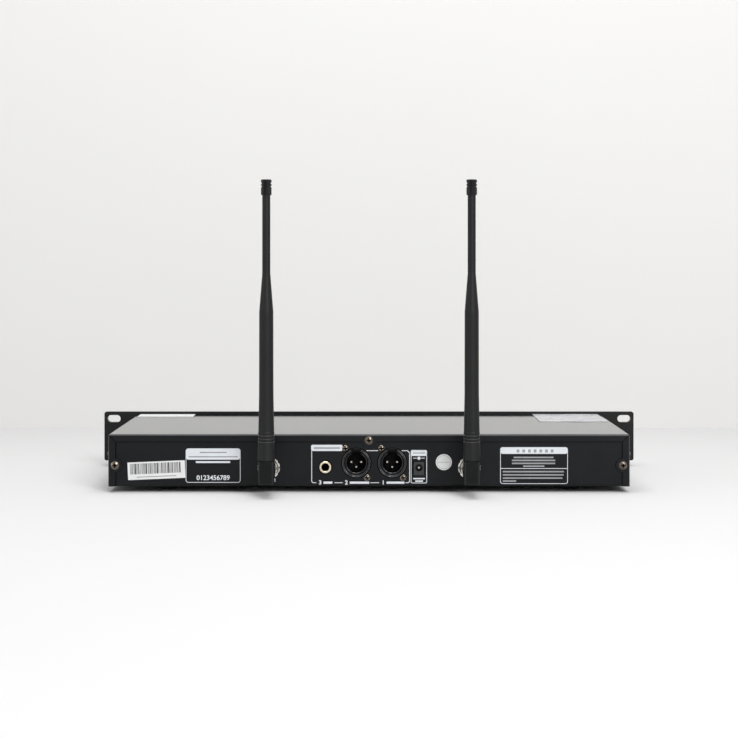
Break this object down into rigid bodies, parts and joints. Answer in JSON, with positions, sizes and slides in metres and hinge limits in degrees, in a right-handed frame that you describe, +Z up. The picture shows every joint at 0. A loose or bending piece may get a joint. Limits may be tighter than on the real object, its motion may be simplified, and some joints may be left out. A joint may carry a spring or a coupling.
{
  "type": "wireless receiver unit",
  "caption": "One-unit rack wireless microphone receiver with hinged, swivelling rear antennas, balanced and mixed audio outputs, power inlet, displays, volume knobs and buttons.",
  "frame": {"origin": "middle of the object's box, at the underside of the feet", "axes": "+X along the rack from channel a to channel b, +Y out of the connector side, -Y out of the front panel, +Z up"},
  "size_m": [0.4826, 0.2344, 0.2516],
  "materials": {
    "case_paint": "fine satin black powder coat",
    "panel_finish": "black anodised, fine satin",
    "foot_rubber": "matt",
    "steel_screws": "bright plated",
    "black_plastic": "moulded, satin",
    "gold_brass": "gold plated",
    "nickel": "nickel plated",
    "white_insulator": "smooth",
    "antenna_sleeve": "matt",
    "antenna_plastic": "matt moulded",
    "smoked_lens": "polished smoked acrylic",
    "lcd": "dark glass",
    "control_plastic": "satin",
    "circuit_board": "solder mask",
    "coax_jacket": "smooth",
    "ribbon": "smooth"
  },
  "bodies": {
    "chassis": {"chassis_tray": "case_paint", "top_cover": "case_paint", "front_panel": "panel_finish", "rubber_feet": "foot_rubber", "foot_screws": "steel_screws", "cover_rear_screws": "steel_screws", "cover_side_screws": "steel_screws", "front_panel_screws": "steel_screws", "xlr_shell_a": "black_plastic", "xlr_shell_b": "black_plastic", "xlr_inserts": "black_plastic", "xlr_pins": "gold_brass", "xlr_screws": "steel_screws", "mix_jack_body": "black_plastic", "mix_jack_bush": "gold_brass", "dc_jack_body": "black_plastic", "dc_jack_pin": "nickel", "bnc_jacks": "nickel", "bnc_insulators": "white_insulator", "bnc_contacts": "gold_brass", "bnc_nuts": "nickel", "bnc_washers": "nickel", "power_switch": "black_plastic", "display_lenses": "smoked_lens", "lcd_modules": "lcd", "volume_pots": "nickel", "tact_switches": "black_plastic", "display_board": "circuit_board", "main_board": "circuit_board", "rf_shields": "nickel", "coax_pigtails": "coax_jacket", "ribbon_cable": "ribbon", "board_standoffs": "gold_brass", "board_screws": "steel_screws", "capacitors": "black_plastic"},
    "coupling_ring_a": {"coupling_ring_a": "nickel"},
    "coupling_ring_b": {"coupling_ring_b": "nickel"},
    "antenna_base_a": {"antenna_plug_a": "nickel", "antenna_knuckle_a": "antenna_plastic"},
    "antenna_base_b": {"antenna_plug_b": "nickel", "antenna_knuckle_b": "antenna_plastic"},
    "whip_a": {"antenna_fork_a": "antenna_plastic", "hinge_pin_a": "steel_screws", "antenna_whip_a": "antenna_sleeve", "antenna_cap_a": "antenna_plastic"},
    "whip_b": {"antenna_fork_b": "antenna_plastic", "hinge_pin_b": "steel_screws", "antenna_whip_b": "antenna_sleeve", "antenna_cap_b": "antenna_plastic"},
    "knob_a": {"volume_knob_a": "control_plastic", "pot_shaft_a": "nickel"},
    "knob_b": {"volume_knob_b": "control_plastic", "pot_shaft_b": "nickel"},
    "power_button": {"power_button": "control_plastic"},
    "set_button_a": {"set_button_a": "control_plastic"},
    "set_button_b": {"set_button_b": "control_plastic"},
    "up_button_a": {"up_button_a": "control_plastic"},
    "up_button_b": {"up_button_b": "control_plastic"},
    "down_button_a": {"down_button_a": "control_plastic"},
    "down_button_b": {"down_button_b": "control_plastic"}
  },
  "joints": [
    {"name": "coupling_turn_a", "type": "hinge", "parent": "chassis", "child": "coupling_ring_a", "pos_m": [-0.081, 0.08632, 0.0202], "axis": [0, 1, 0], "range_deg": [0, 90]},
    {"name": "antenna_swivel_a", "type": "hinge", "parent": "chassis", "child": "antenna_base_a", "pos_m": [-0.081, 0.11033, 0.0202], "axis": [0, 1, 0], "range_deg": [-90, 18]},
    {"name": "antenna_tilt_a", "type": "hinge", "parent": "antenna_base_a", "child": "whip_a", "pos_m": [-0.081, 0.11033, 0.0202], "axis": [-1, 0, 0], "range_deg": [0, 90]},
    {"name": "coupling_turn_b", "type": "hinge", "parent": "chassis", "child": "coupling_ring_b", "pos_m": [0.081, 0.08632, 0.0202], "axis": [0, 1, 0], "range_deg": [0, 90]},
    {"name": "antenna_swivel_b", "type": "hinge", "parent": "chassis", "child": "antenna_base_b", "pos_m": [0.081, 0.11033, 0.0202], "axis": [0, 1, 0], "range_deg": [-18, 90]},
    {"name": "antenna_tilt_b", "type": "hinge", "parent": "antenna_base_b", "child": "whip_b", "pos_m": [0.081, 0.11033, 0.0202], "axis": [-1, 0, 0], "range_deg": [0, 90]},
    {"name": "volume_turn_a", "type": "hinge", "parent": "chassis", "child": "knob_a", "pos_m": [-0.147, -0.10262, 0.0272], "axis": [0, -1, 0], "range_deg": [-150, 150]},
    {"name": "volume_turn_b", "type": "hinge", "parent": "chassis", "child": "knob_b", "pos_m": [0.043, -0.10262, 0.0272], "axis": [0, -1, 0], "range_deg": [-150, 150]},
    {"name": "power_press", "type": "slide", "parent": "chassis", "child": "power_button", "axis": [0, 1, 0], "range_m": [0, 0.0026], "stiffness_N_per_m": 600},
    {"name": "set_press_a", "type": "slide", "parent": "chassis", "child": "set_button_a", "axis": [0, 1, 0], "range_m": [0, 0.0008], "stiffness_N_per_m": 500},
    {"name": "set_press_b", "type": "slide", "parent": "chassis", "child": "set_button_b", "axis": [0, 1, 0], "range_m": [0, 0.0008], "stiffness_N_per_m": 500},
    {"name": "up_press_a", "type": "slide", "parent": "chassis", "child": "up_button_a", "axis": [0, 1, 0], "range_m": [0, 0.0008], "stiffness_N_per_m": 500},
    {"name": "up_press_b", "type": "slide", "parent": "chassis", "child": "up_button_b", "axis": [0, 1, 0], "range_m": [0, 0.0008], "stiffness_N_per_m": 500},
    {"name": "down_press_a", "type": "slide", "parent": "chassis", "child": "down_button_a", "axis": [0, 1, 0], "range_m": [0, 0.0008], "stiffness_N_per_m": 500},
    {"name": "down_press_b", "type": "slide", "parent": "chassis", "child": "down_button_b", "axis": [0, 1, 0], "range_m": [0, 0.0008], "stiffness_N_per_m": 500}
  ]
}
